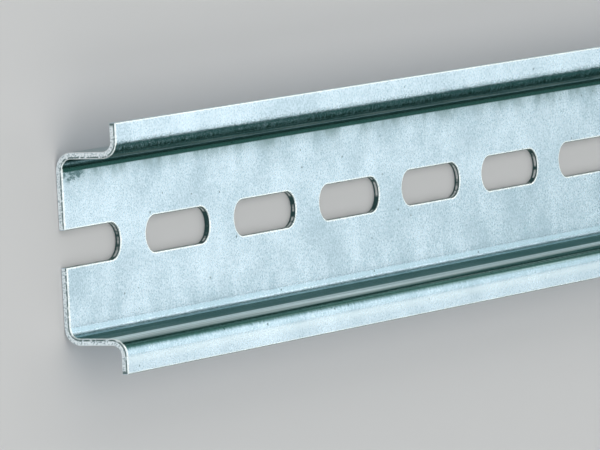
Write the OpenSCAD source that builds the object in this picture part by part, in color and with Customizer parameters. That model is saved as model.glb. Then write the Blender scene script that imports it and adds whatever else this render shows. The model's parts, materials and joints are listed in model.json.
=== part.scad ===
// Perforated top-hat mounting rail for an enclosure, roll-formed in one piece from zinc-plated sheet.
// The rail lies on the back of its web with its open side and its flanges up.
// X runs along the rail and Y across it, and the origin is under the middle of the web.

/* [Section] */
// Width over both flanges
rail_w = 35; // [33:0.5:38]
// Depth from the back of the web to the front of the flanges
rail_d = 10; // [7.5:0.5:15]
// Width over the outsides of the two walls
hat_w = 27; // [24:0.5:28]
// Thickness of the sheet
sheet_t = 1; // [0.8:0.1:1.5]
// Inside radius of the bends between the web and the walls
web_bend_r = 1.5; // [0.5:0.1:2]
// Inside radius of the bends between the walls and the flanges
flange_bend_r = 1.4; // [0.6:0.1:1.6]

/* [Length] */
// Length between the two cut ends
rail_l = 287; // [187:50:987]

/* [Slots] */
// Length of a slot from end to end
slot_l = 18; // [14:1:20]
// Width of a slot, and so the width of the bolt that it takes
slot_w = 5.2; // [4.2:0.1:6.4]
// Distance between the middles of neighbouring slots
slot_pitch = 25; // [22:1:30]

/* [Hidden] */
$fn = 64;

zinc = [0.80, 0.87, 0.90];

// Flat width of the web and height of the straight wall, between the bends
web_flat = hat_w - 2 * (sheet_t + web_bend_r);
wall_foot = sheet_t + web_bend_r;
wall_top = rail_d - sheet_t - flange_bend_r;

// Place of the flange's flat, from its bend to its long edge
flange_in = hat_w / 2 + flange_bend_r;
flange_out = rail_w / 2;

// A slot that the cut end would open by less than its own width is left out
slot_r = slot_w / 2;
last_slot_x = rail_l / 2 + slot_l / 2 - slot_w;
slot_pairs = floor(last_slot_x / slot_pitch + 0.5);
slot_x = [for (i = [1 - slot_pairs : slot_pairs]) (i - 0.5) * slot_pitch];

// How far a cutter stands out past both faces of the sheet
cut_over = 1;

// A quarter bend of the sheet about the origin, from straight down round to the right
module bend(inside_r) {
    outside_r = inside_r + sheet_t;
    intersection() {
        difference() {
            circle(outside_r);
            circle(inside_r);
        }
        translate([0, -outside_r]) square(outside_r);
    }
}

// One side of the section: the web's bend, the wall, the flange's bend and the flange
module side_section() {
    translate([web_flat / 2, wall_foot]) bend(web_bend_r);
    translate([hat_w / 2 - sheet_t, wall_foot]) square([sheet_t, wall_top - wall_foot]);
    translate([flange_in, wall_top]) rotate(180) bend(flange_bend_r);
    translate([flange_in, rail_d - sheet_t]) square([flange_out - flange_in, sheet_t]);
}

// The whole section, drawn across the rail from the back of the web up
module section() {
    translate([-web_flat / 2, 0]) square([web_flat, sheet_t]);
    side_section();
    mirror([1, 0]) side_section();
}

// Cutter for one slot, its round ends along the rail
module slot() {
    cut_h = sheet_t + 2 * cut_over;
    round_x = slot_l / 2 - slot_r;
    translate([0, 0, -cut_over]) {
        translate([-round_x, -slot_r, 0]) cube([2 * round_x, slot_w, cut_h]);
        for (side = [-1, 1]) translate([side * round_x, 0, 0]) cylinder(h = cut_h, r = slot_r);
    }
}

// The rail: the section run out along X, the row of slots punched through its web
module rail() {
    color(zinc) difference() {
        rotate([90, 0, 90]) linear_extrude(height = rail_l, center = true) section();
        for (x = slot_x) translate([x, 0, 0]) slot();
    }
}

rail();
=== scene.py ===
# %% [markdown]
# # A perforated mounting rail
# An enclosure support rail is one strip of zinc-plated sheet steel, folded into a top-hat section with a
# row of slots punched through its web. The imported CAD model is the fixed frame: it gives the rail's true
# sizes and place. This lesson models the same rail again by hand, with fine bends and softened edges, so
# that the light runs along it as it does along the real sheet, and then gives it the finish of the real
# plating.

# %% Load the frame
import json
import math

import bmesh
import bpy
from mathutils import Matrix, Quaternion, Vector


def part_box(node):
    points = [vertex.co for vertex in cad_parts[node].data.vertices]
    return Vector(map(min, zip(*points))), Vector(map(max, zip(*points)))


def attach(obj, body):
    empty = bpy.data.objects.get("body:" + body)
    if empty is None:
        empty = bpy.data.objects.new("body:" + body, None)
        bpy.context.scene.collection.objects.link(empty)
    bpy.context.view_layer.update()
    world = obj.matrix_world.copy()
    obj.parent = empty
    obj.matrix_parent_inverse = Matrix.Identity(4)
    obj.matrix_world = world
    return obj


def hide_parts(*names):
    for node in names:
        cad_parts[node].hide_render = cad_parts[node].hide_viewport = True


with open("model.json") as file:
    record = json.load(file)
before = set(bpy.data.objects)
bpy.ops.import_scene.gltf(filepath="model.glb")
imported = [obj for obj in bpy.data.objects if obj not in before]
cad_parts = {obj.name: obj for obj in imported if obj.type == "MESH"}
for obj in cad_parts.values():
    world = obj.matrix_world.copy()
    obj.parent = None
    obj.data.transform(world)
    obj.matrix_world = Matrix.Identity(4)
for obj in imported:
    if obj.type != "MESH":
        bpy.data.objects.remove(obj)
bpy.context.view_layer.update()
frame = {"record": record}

# %% [markdown]
# ## Sizes
# The overall sizes come from the frame and the slots' sizes from the record's bolt patterns, so the new
# mesh can't drift from the CAD model. Only the section's inner sizes are written here: the sheet, the width
# over the walls and the two bend radii. Blender counts in metres, so each of them is multiplied by MM.

# %% Sizes of the section and the slots
MM = 0.001
low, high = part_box("rail")
LENGTH = high.x - low.x
WIDTH = high.y - low.y
DEPTH = high.z - low.z
SHEET = 1.0 * MM
HAT = 27.0 * MM
WEB_BEND = 1.5 * MM
FLANGE_BEND = 1.4 * MM

patterns = [m["dims"] for m in frame["record"]["mounts"] if m["kind"] == "bolt_pattern"]
SLOT_R = patterns[0]["hole_r_mm"] * MM
SLOT_LENGTH = patterns[0]["slot_length_mm"] * MM
SLOT_PITCH = min(p["spacing_x_mm"] for p in patterns) * MM
SLOT_COUNT = 2 * len(patterns) + 2

print("rail", [round(v / MM, 2) for v in (LENGTH, WIDTH, DEPTH)], "mm, slots", SLOT_COUNT)

# %% [markdown]
# ## Camera
# The rail is seen from its cut end with its open front towards the viewer. Here it lies on its back, so the
# same view is had by a camera that stands off the cut end, looks down on the open front and is rolled on to
# its side. Three angles, a distance, a lens and the point aimed at place it. The long lens, far away, keeps
# the rail's edges almost parallel.

# %% Camera
VIEW_HEIGHT = math.radians(29.615)
VIEW_SWING = math.radians(4.851)
VIEW_ROLL = math.radians(89.39)
VIEW_DISTANCE = 1.2843
LENS = 530.0
CLIP_END = 20.0
AIM = Vector((-77.61 * MM, -2.54 * MM, SHEET))

towards_camera = Vector((
    -math.cos(VIEW_HEIGHT) * math.cos(VIEW_SWING),
    math.cos(VIEW_HEIGHT) * math.sin(VIEW_SWING),
    math.sin(VIEW_HEIGHT),
))
bpy.ops.object.camera_add(location=AIM + towards_camera * VIEW_DISTANCE)
camera = bpy.context.object
camera.name = "camera"
camera.data.lens = LENS
camera.data.clip_end = CLIP_END
camera.rotation_mode = "QUATERNION"
level = (-towards_camera).to_track_quat("-Z", "Y")
camera.rotation_quaternion = level @ Quaternion((0, 0, 1), VIEW_ROLL)
bpy.context.scene.camera = camera
print("camera at", [round(v, 3) for v in camera.location])

# %% [markdown]
# ## Shader sums
# Materials are node trees, but a long tree is hard to read as a list of links. This small class wraps one
# output socket. Adding, multiplying or comparing two of them adds the Math node that does it, and node()
# adds any other kind of node from its type, its settings and what goes into its sockets. Two steps are used
# all over the finish: rise() goes from 0 to 1, and band() goes up and comes down again.

# %% A socket that can be used in sums
MIX_FACTOR, MIX_A, MIX_B, MIX_RESULT = 0, 6, 7, 2


class Wire:
    """An output socket of a node tree."""

    def __init__(self, tree, socket=None):
        self.tree = tree
        self.socket = socket

    def node(self, kind, settings=None, sockets=None, out=0):
        made = self.tree.nodes.new("ShaderNode" + kind)
        for name, value in (settings or {}).items():
            setattr(made, name, value)
        for name, value in (sockets or {}).items():
            if isinstance(value, Wire):
                self.tree.links.new(value.socket, made.inputs[name])
            else:
                made.inputs[name].default_value = value
        return Wire(self.tree, made.outputs[out])

    def sum(self, operation, *terms):
        return self.node("Math", {"operation": operation}, dict(enumerate(terms)))

    def __add__(self, other):
        return self.sum("ADD", self, other)

    __radd__ = __add__

    def __sub__(self, other):
        return self.sum("SUBTRACT", self, other)

    def __rsub__(self, other):
        return self.sum("SUBTRACT", other, self)

    def __mul__(self, other):
        return self.sum("MULTIPLY", self, other)

    __rmul__ = __mul__

    def __abs__(self):
        return self.sum("ABSOLUTE", self)

    def largest(self, other):
        return self.sum("MAXIMUM", self, other)

    def rise(self, start, end):
        """0 below start, 1 above end, a smooth step between them."""
        settings = {"interpolation_type": "SMOOTHSTEP"}
        return self.node("MapRange", settings, {"Value": self, "From Min": start, "From Max": end})

    def band(self, start, full, fade, end):
        """1 between full and fade, 0 outside start and end, smooth steps between them."""
        return self.rise(start, full) - self.rise(fade, end)

    def mix(self, first, second):
        """A colour between two, with this value as the share of the second."""
        sockets = {MIX_FACTOR: self, MIX_A: first, MIX_B: second}
        return self.node("Mix", {"data_type": "RGBA"}, sockets, out=MIX_RESULT)


def new_material(name):
    """A new material, its Principled shader and the start of its wires."""
    material = bpy.data.materials.new(name)
    material.use_nodes = True
    return material, material.node_tree.nodes["Principled BSDF"], Wire(material.node_tree)


def colour(red, green, blue):
    return (red, green, blue, 1.0)


print("shader sums ready")

# %% [markdown]
# ## Floor and light
# A plain pale floor carries the rail. Bare metal shows what is around it, so the lamps matter as much as
# the finish. One soft lamp, rolled a little, stands where the web and the flanges mirror it towards the
# camera, and the sides beyond it stay dim, which helps to draw the dark bands along the bends. A small weak
# lamp, low on one side, lightens the start of the lower bends. A wide lamp overhead lights the floor. Two
# large lamps along the sides and one off the cut end keep every side readable, in a dim blue-green room.

# %% Floor
FLOOR_SIZE = 12.0
FLOOR_DROP = 0.02 * MM
FLOOR_COLOUR = colour(0.67, 0.64, 0.645)

bpy.ops.object.select_all(action="DESELECT")
bpy.ops.mesh.primitive_plane_add(size=FLOOR_SIZE, location=(0, 0, -FLOOR_DROP))
floor = bpy.context.object
floor.name = "floor"
floor_finish, floor_shader, start = new_material("pale_floor")
floor_shader.inputs["Base Color"].default_value = FLOOR_COLOUR
floor_shader.inputs["Roughness"].default_value = 0.9
floor_shader.inputs["Specular IOR Level"].default_value = 0.1
floor.data.materials.append(floor_finish)
print("floor", FLOOR_SIZE, "m")

# %% Lamps
VISIBLE_MIDDLE = Vector((-60 * MM, 0, DEPTH / 2))
ROOM = colour(0.025, 0.08, 0.07)


def soft_lamp(name, swing, height, distance, wide, tall, power, roll=0):
    """A rectangular lamp that faces the rail, with its angles in degrees.

    Swing turns it round the rail from +X, height lifts it, and roll turns it about its own axis.
    """
    a, e = math.radians(swing), math.radians(height)
    towards = Vector((math.cos(a) * math.cos(e), math.sin(a) * math.cos(e), math.sin(e)))
    bpy.ops.object.light_add(type="AREA", location=VISIBLE_MIDDLE + towards * distance)
    lamp = bpy.context.object
    lamp.name = name
    facing = (-towards).to_track_quat("-Z", "Y")
    lamp.rotation_euler = (facing @ Quaternion((0, 0, 1), math.radians(roll))).to_euler()
    lamp.data.shape = "RECTANGLE"
    lamp.data.size = wide
    lamp.data.size_y = tall
    lamp.data.energy = power
    lamp.visible_camera = False


soft_lamp("mirror_lamp", swing=11.8, height=34.5, distance=1.3, wide=0.94, tall=0.7, power=2.73, roll=-20)
soft_lamp("skirt_lamp", swing=27, height=13.5, distance=1.3, wide=0.24, tall=0.32, power=0.16)
soft_lamp("overhead_lamp", swing=180, height=86, distance=1.8, wide=2.0, tall=2.0, power=12)
soft_lamp("left_lamp", swing=85, height=26, distance=2.2, wide=4.8, tall=2.0, power=26)
soft_lamp("right_lamp", swing=-88, height=26, distance=2.2, wide=4.8, tall=2.0, power=26)
soft_lamp("end_lamp", swing=180, height=34, distance=2.2, wide=3.4, tall=2.6, power=30)

world = bpy.data.worlds.new("studio")
world.use_nodes = True
world.node_tree.nodes["Background"].inputs["Color"].default_value = ROOM
bpy.context.scene.world = world
bpy.context.scene.view_settings.view_transform = "Standard"

# %% [markdown]
# ## The folded strip
# The real rail is roll-formed: a flat strip passes between rollers that fold up its two walls and turn its
# flanges out. A sweep along a drawn profile would give the same shape, but folding a plane by extruding its
# edges follows the making: web, walls, flanges. It is the back of the sheet that is folded here, because
# the web's back lies on the floor and every CAD size of the back is a plain number.


# %% Fold a plane into the hat section
def select_edges(test):
    """Selects the edges that pass a test of the edge and its middle, in edit mode, and counts them."""
    bpy.ops.mesh.select_mode(type="EDGE")
    bpy.ops.mesh.select_all(action="DESELECT")
    mesh = bpy.context.edit_object.data
    shape = bmesh.from_edit_mesh(mesh)
    count = 0
    for edge in shape.edges:
        middle = (edge.verts[0].co + edge.verts[1].co) / 2
        if test(edge, middle):
            edge.select = True
            count += 1
    shape.select_flush_mode()
    bmesh.update_edit_mesh(mesh)
    return count


def runs_along(edge):
    """True for an edge that runs the length of the rail."""
    return abs(edge.verts[0].co.x - edge.verts[1].co.x) > LENGTH / 2


NEAR = 0.001 * MM
WALL_BACK = DEPTH - SHEET

bpy.ops.object.select_all(action="DESELECT")
bpy.ops.mesh.primitive_plane_add(size=1.0)
rail = bpy.context.object
rail.name = "zinc_rail"
bpy.ops.object.mode_set(mode="EDIT")
bpy.ops.transform.resize(value=(LENGTH, HAT, 1.0))
select_edges(lambda edge, middle: runs_along(edge))
bpy.ops.mesh.extrude_edges_move(TRANSFORM_OT_translate={"value": (0, 0, WALL_BACK)})
bpy.ops.mesh.extrude_edges_move(TRANSFORM_OT_translate={"value": (0, 0, 0)})
bpy.ops.transform.resize(value=(1.0, WIDTH / HAT, 1.0))
print("folded strip:", len(bmesh.from_edit_mesh(rail.data).faces), "faces")

# %% [markdown]
# Real folds are round. Bevelling a fold with a circular profile replaces it by an arc whose radius is the
# bevel's offset. The folds at the web are outside bends on the back of the sheet, so their radius is the
# inside radius plus the sheet; the folds at the flanges are inside bends there.

# %% Round the folds
BEND_STEPS = 12

web_folds = select_edges(lambda edge, middle: runs_along(edge) and middle.z < NEAR)
bpy.ops.mesh.bevel(offset=WEB_BEND + SHEET, segments=BEND_STEPS, profile=0.5, affect="EDGES")


def is_flange_fold(edge, middle):
    return runs_along(edge) and abs(middle.z - WALL_BACK) < NEAR and abs(middle.y) < HAT / 2 + NEAR


flange_folds = select_edges(is_flange_fold)
bpy.ops.mesh.bevel(offset=FLANGE_BEND, segments=BEND_STEPS, profile=0.5, affect="EDGES")
bpy.ops.object.mode_set(mode="OBJECT")
print("rounded", web_folds, "web folds and", flange_folds, "flange folds")

# %% [markdown]
# Solidify gives the sheet its thickness on the front, with even offset so that the bends stay concentric.
# It moves each face along its own normal, so the side that the web's normal looks to decides the offset.


# %% Give the sheet its thickness
def apply_modifier(piece, kind, **settings):
    """Adds a modifier to a piece and applies it."""
    bpy.context.view_layer.objects.active = piece
    modifier = piece.modifiers.new(kind.lower(), kind)
    for name, value in settings.items():
        setattr(modifier, name, value)
    bpy.ops.object.modifier_apply(modifier=modifier.name)


web_face = min(rail.data.polygons, key=lambda face: face.center.z)
facing = 1.0 if web_face.normal.z > 0 else -1.0
apply_modifier(rail, "SOLIDIFY", thickness=SHEET, offset=facing, use_even_offset=True)
print("sheet: depth", round(max(v.co.z for v in rail.data.vertices) / MM, 3), "mm")

# %% [markdown]
# ## The slots
# A punch cuts the slots. Here the punch is a plane the size of one slot: a vertex bevel with half the
# slot's width rounds its corners into full round ends, and an extrusion makes it a block. An array sets
# twelve of them along the rail, so that the two end ones hang over the cut ends and leave them open, and
# one boolean punches them all.

# %% Model the punch and cut the slots
PUNCH_OVER = SHEET
END_STEPS = 20

bpy.ops.object.select_all(action="DESELECT")
bpy.ops.mesh.primitive_plane_add(size=1.0, location=(0, 0, -PUNCH_OVER))
punch = bpy.context.object
punch.name = "punch"
bpy.ops.object.mode_set(mode="EDIT")
bpy.ops.transform.resize(value=(SLOT_LENGTH, 2 * SLOT_R, 1.0))
bpy.ops.mesh.select_all(action="SELECT")
bpy.ops.mesh.bevel(offset=SLOT_R, segments=END_STEPS, profile=0.5, affect="VERTICES")
bpy.ops.mesh.select_all(action="SELECT")
bpy.ops.mesh.remove_doubles(threshold=NEAR)
bpy.ops.mesh.extrude_region_move(TRANSFORM_OT_translate={"value": (0, 0, SHEET + 2 * PUNCH_OVER)})
bpy.ops.mesh.select_all(action="SELECT")
bpy.ops.mesh.normals_make_consistent(inside=False)
bpy.ops.transform.translate(value=((1 - SLOT_COUNT) / 2 * SLOT_PITCH, 0, 0))
bpy.ops.object.mode_set(mode="OBJECT")
bpy.ops.object.transform_apply(location=True, rotation=True, scale=True)
apply_modifier(
    punch, "ARRAY", count=SLOT_COUNT,
    use_relative_offset=False, use_constant_offset=True, constant_offset_displace=(SLOT_PITCH, 0, 0),
)
apply_modifier(rail, "BOOLEAN", operation="DIFFERENCE", solver="EXACT", object=punch)
bpy.data.objects.remove(punch)
print("slots cut:", len(rail.data.polygons), "faces")

# %% [markdown]
# ## Softened edges
# No edge of a real sheet is perfectly sharp: slitting, punching and cutting each leave a tiny round, and
# the plating thickens it. The bevel takes only edges sharper than the bends' own steps. Weighted normals
# keep the flats flat, so that only the rounds catch the light.

# %% Bevel the edges and smooth the bends
EDGE_ROUND = 0.12 * MM
EDGE_STEPS = 2
EDGE_ANGLE = math.radians(40)
SMOOTH_ANGLE = math.radians(60)

apply_modifier(
    rail, "BEVEL", width=EDGE_ROUND, segments=EDGE_STEPS,
    limit_method="ANGLE", angle_limit=EDGE_ANGLE, use_clamp_overlap=True,
)
bpy.ops.object.select_all(action="DESELECT")
rail.select_set(True)
bpy.context.view_layer.objects.active = rail
bpy.ops.object.shade_smooth_by_angle(angle=SMOOTH_ANGLE)
apply_modifier(rail, "WEIGHTED_NORMAL", keep_sharp=True)
triangles = sum(len(face.vertices) - 2 for face in rail.data.polygons)
print("rail:", triangles, "triangles")

# %% [markdown]
# ## Where each point lay on the strip
# The plating, the rollers' marks and the drawn streaks all follow the strip as it was before it was folded.
# So every vertex keeps two numbers for the finish: how far it lay from the middle of the flat strip, and
# how deep it lies in the sheet, from 0 at the back to 1 at the front.

# %% Store the strip coordinates
WEB_HALF = HAT / 2 - SHEET - WEB_BEND
WALL_FOOT = SHEET + WEB_BEND
WALL_TOP = DEPTH - SHEET - FLANGE_BEND
FLANGE_IN = HAT / 2 + FLANGE_BEND
BEND_1_END = WEB_HALF + (WEB_BEND + SHEET / 2) * math.pi / 2
BEND_2_START = BEND_1_END + WALL_TOP - WALL_FOOT
FLANGE_START = BEND_2_START + (FLANGE_BEND + SHEET / 2) * math.pi / 2
STRIP_HALF = FLANGE_START + WIDTH / 2 - FLANGE_IN


def strip_place(y, z):
    """How far out a point of the section lay on the flat strip, and how deep it lies in the sheet."""
    if y <= WEB_HALF:
        return y, z / SHEET
    if z < WALL_FOOT:
        out, down = y - WEB_HALF, WALL_FOOT - z
        turned = math.atan2(out, down)
        inwards = WEB_BEND + SHEET - math.hypot(out, down)
        return WEB_HALF + (WEB_BEND + SHEET / 2) * turned, inwards / SHEET
    if z <= WALL_TOP:
        return BEND_1_END + z - WALL_FOOT, (HAT / 2 - y) / SHEET
    if y < FLANGE_IN:
        back, up = FLANGE_IN - y, z - WALL_TOP
        turned = math.atan2(up, back)
        inwards = math.hypot(back, up) - FLANGE_BEND
        return BEND_2_START + (FLANGE_BEND + SHEET / 2) * turned, inwards / SHEET
    return FLANGE_START + y - FLANGE_IN, (z - WALL_BACK) / SHEET


across = rail.data.attributes.new("across", "FLOAT", "POINT")
through = rail.data.attributes.new("through", "FLOAT", "POINT")
for vertex in rail.data.vertices:
    out, deep = strip_place(abs(vertex.co.y), vertex.co.z)
    across.data[vertex.index].value = math.copysign(out, vertex.co.y)
    through.data[vertex.index].value = deep
print("strip", round(2 * STRIP_HALF / MM, 2), "mm wide before folding")

# %% [markdown]
# ## Zinc finish
# The sheet is electroplated with zinc and dipped in a clear blue passivation. Such a finish is all metal:
# what is seen on it is the light around it, a little tinted. So the shader is metallic, apart from the raw
# cut ends, and the work goes into how the tint and the gloss vary. Everything is laid out in strip
# coordinates, in millimetres, so that the marks run through the bends without a break.

# %% Strip coordinates for the shader
zinc, zinc_shader, start = new_material("passivated_zinc")
zinc_links = zinc.node_tree.links

place = start.node("TexCoord", out="Object")
x = start.node("SeparateXYZ", sockets={"Vector": place}, out="X") * (1 / MM)
y = start.node("Attribute", {"attribute_name": "across"}, out="Fac") * (1 / MM)
deep = start.node("Attribute", {"attribute_name": "through"}, out="Fac")
strip = start.node("CombineXYZ", sockets={"X": x, "Y": y, "Z": deep})
outward = abs(y)


def noise(size, along=1.0, sideways=1.0, inwards=1.0, detail=3.0, roughness=0.5):
    """Noise about 0.5 with features of a size in mm, stretched along, across or into the sheet."""
    scale = (1 / along, 1 / sideways, 1 / inwards)
    squeezed = start.node("Mapping", sockets={"Vector": strip, "Scale": scale})
    sockets = {"Vector": squeezed, "Scale": 1 / size, "Detail": detail, "Roughness": roughness}
    return start.node("TexNoise", sockets=sockets)


print("strip coordinates in mm:", len(zinc.node_tree.nodes), "nodes")

# %% [markdown]
# Masks say where on the sheet a point is. The rollers drew the sheet over the two bends and the wall
# between them, and the flanges lie outside; there the tint is a painted shade, dark along the bends, with a
# painted highlight as a pale strip on each wall. The two sides are masked differently. On the lower one the
# painted shade starts later and ends more cleanly, the wall is matt and painted darker, and its pale strip
# is narrow and lies at the top, with an outer edge that moves a little along the rail. On the upper one the
# pale strip fills most of the wall, and the flange's bend is rougher where it was stretched. Two narrow
# masks mark where the bends meet the web and the flanges.

# %% Masks for the bends
WEB_EDGE, FLANGE_EDGE = WEB_HALF / MM, FLANGE_START / MM
WALL_START, WALL_END = BEND_1_END / MM, BEND_2_START / MM
DRIFT_START, DRIFT_END = -110.0, 40.0

lower = (-1.0 * y).rise(0.0, 1.0)
drift = x.rise(DRIFT_START, DRIFT_END)
bent = outward.band(WEB_EDGE - 0.2, WEB_EDGE + 0.4, FLANGE_EDGE - 0.4, FLANGE_EDGE + 0.2)
flange = outward.rise(FLANGE_EDGE - 0.5, FLANGE_EDGE + 0.3)
streak = noise(0.22, sideways=3.0, detail=2.0)
ragged = outward + (1.6 - 1.2 * lower) * (streak - 0.5)
drawn_and_shaded = (outward - 0.8 * lower).rise(WEB_EDGE + 1.1, WEB_EDGE + 1.7)
drawn_and_shaded = drawn_and_shaded - (ragged - 0.3 * lower).rise(FLANGE_EDGE - 1.3, FLANGE_EDGE - 0.75)
wall = (outward - 4.05 * lower).rise(WALL_START - 0.1, WALL_START + 0.9)
wall = wall - (outward - (1.85 - 0.5 * drift) * lower).rise(WALL_END - 0.95, WALL_END - 0.35)
matt_shaded_wall = outward.band(WALL_START - 0.8, WALL_START, WALL_END + 1.05, WALL_END + 1.55) * lower
stretched = outward.band(FLANGE_EDGE - 2.2, FLANGE_EDGE - 1.0, FLANGE_EDGE - 0.1, FLANGE_EDGE + 0.4)
stretched = stretched * (1 - 0.8 * lower)
web_start = outward.band(WEB_EDGE - 0.3, WEB_EDGE + 0.4, WEB_EDGE + 0.75, WEB_EDGE + 1.2)
flange_start = outward.band(FLANGE_EDGE - 1.3, FLANGE_EDGE - 0.7, FLANGE_EDGE, FLANGE_EDGE + 0.6)

print("on the strip, bends from", round(WEB_EDGE, 2), "to", round(FLANGE_EDGE, 2), "mm off the middle")

# %% [markdown]
# The distance to the nearest slot is worked out once for all the slots: folding x by the slots' pitch lays
# them over each other, and a slot's distance is that of the straight line through its middle, less its
# radius. The cut faces are where a point lies inside the sheet's thickness.

# %% Masks for the slots, the edges and the cut faces
folded = abs(start.sum("FLOORED_MODULO", x, SLOT_PITCH / MM) - SLOT_PITCH / MM / 2)
past_middle = (folded - (SLOT_LENGTH / 2 - SLOT_R) / MM).largest(0.0)
to_slot = start.sum("SQRT", past_middle * past_middle + y * y) - SLOT_R / MM
to_end = LENGTH / 2 / MM - abs(x)
to_edge = STRIP_HALF / MM - outward

inside = deep.band(0.06, 0.16, 0.84, 0.94)
end_cut = inside * (1 - to_end.rise(0.005, 0.03))
slot_wall = inside * (1 - to_slot.rise(0.005, 0.03)) * (1 - end_cut)

print("slot pitch folded at", SLOT_PITCH / MM, "mm")

# %% [markdown]
# The plating varies at three scales: soft clouds from the bath, several millimetres wide; smears across the
# strip close to the bends, where it was wiped and handled; and a fine grain from the steel below. Along the
# upper edge of the web a painted shade darkens the web below the bend, with stains that run down from it
# and fine hairlines. Sparse pin-holes show as dark specks: a Voronoi pattern gives each cell one, and the
# cell's own random value decides whether it shows and how wide it is.

# %% Clouds, smears, grain and specks
cloud = noise(9.0, detail=5.0, roughness=0.6)
smear = noise(3.0, sideways=2.2, detail=4.0)
grain = noise(0.22, detail=1.0, roughness=0.6).rise(0.25, 0.75)
near_bend = outward.rise(6.0, 10.5) * (1 - flange)
# Painted shade: the web below the upper bend is painted darker, with stains and hairlines in it.
shade_and_stain = y.rise(WEB_EDGE - 3.4, WEB_EDGE + 0.2)
stain = noise(4.6, sideways=1.7, detail=5.0, roughness=0.62).rise(0.40, 0.66)
stroke = y.rise(WEB_EDGE - 6.0, WEB_EDGE - 1.0) * stain
hairline = noise(0.10, along=90.0, detail=2.0).rise(0.64, 0.72) * y.rise(WEB_EDGE - 5.0, WEB_EDGE - 1.0)
shade_and_stain = shade_and_stain * shade_and_stain * (0.58 + 0.50 * stain) + 0.24 * stroke + 0.20 * hairline
shade_and_stain = shade_and_stain * (1 - bent) * (1 - flange)

SPECK_CELL = 4.0
speck_kind = {"voronoi_dimensions": "2D"}
speck_sockets = {"Vector": strip, "Scale": 1 / SPECK_CELL}
speck_far = start.node("TexVoronoi", speck_kind, speck_sockets, out="Distance") * SPECK_CELL
speck_own = start.node("TexVoronoi", speck_kind, speck_sockets, out="Color")
speck_luck = start.node("SeparateColor", sockets={"Color": speck_own}, out="Red")
speck_r = speck_luck.rise(0.70, 1.0) * 0.20
speck = (speck_r - speck_far).rise(0.0, 0.08) * (1 - inside)

print("clouds, smears, grain and specks:", len(zinc.node_tree.nodes), "nodes so far")

# %% [markdown]
# These make the tint of the flats, from a pale blue to a clouded one. It darkens a little along the rail,
# most of all on the lower half of the web. The flanges are painted paler than the web, the lower one most,
# a painted highlight. Beside the lower bends the mottling is calmer and painted darker, a painted shade,
# and just beyond the bend a pale band on the lower flange is a painted highlight. At one cut end, scuffs
# cover the upper corner of the web.

# %% Tint of the flats
PALE = colour(0.77, 0.89, 1.0)
CLOUDED = colour(0.43, 0.57, 0.66)
SPECK = colour(0.12, 0.20, 0.22)
SHADE_STAIN = colour(0.27, 0.37, 0.40)
FLANGE_HIGHLIGHT = colour(0.83, 0.93, 1.0)

lower_bend_margins = lower * (web_start + flange_start)
mottle = 1.3 * (cloud - 0.5) + 1.1 * (smear - 0.5) * near_bend + 1.1 * (grain - 0.5)
paleness = 0.64 + mottle * (1 - 0.45 * lower_bend_margins)
# Painted highlight: the flanges paler, the lower one most. Painted shade: lower web and flange beside the
# bends.
paleness = paleness - 0.06 * near_bend + 0.14 * flange - (0.02 + 0.26 * lower) * drift * (1 - flange)
paleness = paleness + lower * (0.16 * flange - 0.54 * web_start - 0.42 * flange_start)
flat_tint = paleness.mix(CLOUDED, PALE)
flat_tint = (0.8 * speck).mix(flat_tint, SPECK)
flat_tint = shade_and_stain.mix(flat_tint, SHADE_STAIN)
# A painted highlight: a pale band on the lower flange just beyond its bend.
flange_highlight = outward.band(FLANGE_EDGE - 0.1, FLANGE_EDGE + 0.4, FLANGE_EDGE + 0.6, FLANGE_EDGE + 1.6)
flat_tint = (0.65 * lower * flange_highlight).mix(flat_tint, FLANGE_HIGHLIGHT)

SCUFF_IN, SCUFF_DOWN = 2.8, 0.7
scuff_x = (x + LENGTH / 2 / MM - SCUFF_IN) * 0.32
scuff_y = (y - WEB_EDGE + SCUFF_DOWN) * 0.80
scuff_far = start.sum("SQRT", scuff_x * scuff_x + scuff_y * scuff_y)
scuff = (1 - scuff_far.rise(0.6, 1.2)) * noise(0.4, along=2.6, detail=3.0).rise(0.44, 0.52)
flat_tint = scuff.mix(flat_tint, SPECK)

print("tint of the flats:", len(zinc.node_tree.nodes), "nodes so far")

# %% [markdown]
# Over the bends the rollers left fine lines that run the whole length of the rail. The bends are painted a
# darker blue-green, a painted shade, with a few brighter scratches, and a pale strip on each wall is a
# painted highlight. Two thin dark lines are painted shade: one along the upper edge of the web and one on
# the lower flange's bend.

# %% Drawn bends, with painted shade and a painted highlight
lines = noise(0.35, along=300.0, detail=4.0, roughness=0.65)
scratch = noise(0.16, along=700.0, detail=2.0).rise(0.60, 0.68)

# Painted shade on the bends, and a painted highlight strip on each wall.
BEND_SHADE = colour(0.02, 0.10, 0.093)
BEND_SHADE_PALER = colour(0.10, 0.225, 0.205)
WALL_HIGHLIGHT = colour(0.90, 0.98, 1.0)
BRIGHT = colour(0.88, 0.95, 0.97)
SHADE_LINE_DARK = colour(0.014, 0.063, 0.056)

painted_bend_tint = (lines.rise(0.45, 0.62) * (1 - 0.6 * matt_shaded_wall)).mix(BEND_SHADE, BEND_SHADE_PALER)
crest = 1 - 0.2 * outward.rise(WALL_END + 0.2, WALL_END + 1.0)
painted_bend_tint = (wall * crest * (0.62 + 0.50 * lines.rise(0.38, 0.62))).mix(painted_bend_tint, WALL_HIGHLIGHT)
painted_bend_tint = (scratch * 0.35).mix(painted_bend_tint, BRIGHT)

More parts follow.
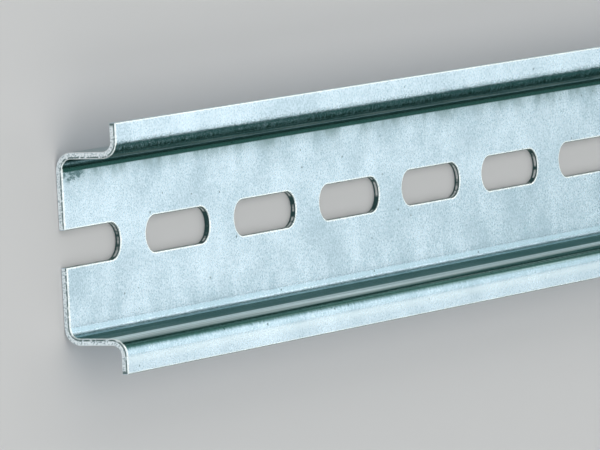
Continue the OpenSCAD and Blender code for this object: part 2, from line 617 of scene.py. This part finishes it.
# Two thin lines of painted shade: at the upper edge of the web and on the lower flange's bend.
upper_shade_line = y.band(WEB_EDGE - 0.44, WEB_EDGE - 0.26, WEB_EDGE + 0.3, WEB_EDGE + 1.2)
lower_shade_line = outward.band(FLANGE_EDGE - 1.25, FLANGE_EDGE - 1.1, FLANGE_EDGE - 1.04, FLANGE_EDGE - 0.77)
front = deep.rise(0.3, 0.7)
tint = (front * drawn_and_shaded * (0.88 + 0.12 * grain)).mix(flat_tint, painted_bend_tint)
tint = (front * upper_shade_line).mix(tint, SHADE_LINE_DARK)
tint = (front * lower * lower_shade_line).mix(tint, SHADE_LINE_DARK)

print("drawn bends:", len(zinc.node_tree.nodes), "nodes so far")

# %% [markdown]
# A narrow bright rim along the slots, the cut ends and the long edges is a painted highlight. The cut ends
# themselves are raw steel, rough and pale, with a dark broken line where the shear's smooth bite ends. The
# slots' walls are painted dark, a painted shade, with a broken bright line on them that is a painted
# highlight.

# %% Highlight rims, slot walls and cut faces
# The bright rims are a painted highlight.
slot_rim = 1 - to_slot.rise(0.16, 0.32)
end_rim = 1 - to_end.rise(0.16, 0.36)
edge_rim = 1 - to_edge.rise(0.10, 0.30)
highlight_rim = slot_rim.largest(end_rim).largest(edge_rim)
highlight_rim = highlight_rim * (1 - inside) * (0.7 + 0.3 * noise(0.8).rise(0.35, 0.6))

RAW = colour(0.90, 0.96, 1.0)
TORN = colour(0.38, 0.47, 0.52)
SHEAR_LINE_AND_SHADE = colour(0.05, 0.11, 0.11)
HIGHLIGHT_WHITE = colour(0.98, 1.0, 1.0)

torn = noise(0.22, detail=2.0).rise(0.46, 0.66)
bite = deep.band(0.60, 0.70, 0.82, 0.92)
tip = 1 - to_edge.rise(0.25, 0.65)
shear_line = end_cut * (bite * noise(0.6).rise(0.36, 0.5)).largest(tip)
# On the slots' walls: painted shade, broken by a line of painted highlight.
painted_glint = deep.band(0.30, 0.42, 0.62, 0.76) * noise(1.9, inwards=6.0, detail=4.0).rise(0.42, 0.52)

tint = highlight_rim.mix(tint, HIGHLIGHT_WHITE)
tint = slot_wall.mix(tint, (0.75 * painted_glint).mix(SHEAR_LINE_AND_SHADE, HIGHLIGHT_WHITE))
tint = end_cut.mix(tint, torn.mix(RAW, TORN))
tint = (0.9 * shear_line).mix(tint, SHEAR_LINE_AND_SHADE)

print("rims and cut faces:", len(zinc.node_tree.nodes), "nodes so far")

# %% [markdown]
# Gloss and relief follow the same masks: most of the drawn zinc is smoother than the flats, and the matt
# lower wall and the raw ends are the roughest. The bump is a few hundredths of a millimetre high at most.
# The edge tint dims the metal where it is seen at a glancing angle.

# %% Gloss, relief and the shader's sockets
BUMP_HEIGHT = 0.02 * MM
BUMP_STRENGTH = 0.8
EDGE_TINT = colour(0.70, 0.80, 0.76)

dull = 0.29 - 0.12 * (cloud - 0.5) + 0.06 * (grain - 0.5) + 0.20 * speck
rough = dull - 0.10 * bent - 0.09 * drawn_and_shaded - 0.06 * highlight_rim + 0.30 * end_cut + 0.54 * matt_shaded_wall
metal = 1 - 0.75 * end_cut
relief = 0.5 * grain + 0.8 * drawn_and_shaded * (lines - 0.5) + 2.0 * stretched * (streak - 0.5)
relief = relief + 0.6 * end_cut * noise(0.2) - 0.8 * speck
bump_sockets = {"Strength": BUMP_STRENGTH, "Distance": BUMP_HEIGHT, "Height": relief}
bump = start.node("Bump", sockets=bump_sockets)

zinc_shader.inputs["Specular Tint"].default_value = EDGE_TINT
zinc_links.new(tint.socket, zinc_shader.inputs["Base Color"])
zinc_links.new(rough.socket, zinc_shader.inputs["Roughness"])
zinc_links.new(metal.socket, zinc_shader.inputs["Metallic"])
zinc_links.new(bump.socket, zinc_shader.inputs["Normal"])
rail.data.materials.clear()
rail.data.materials.append(zinc)
print("zinc:", len(zinc.node_tree.nodes), "nodes")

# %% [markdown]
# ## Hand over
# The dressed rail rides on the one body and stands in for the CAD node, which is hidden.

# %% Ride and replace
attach(rail, "root")
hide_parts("rail")
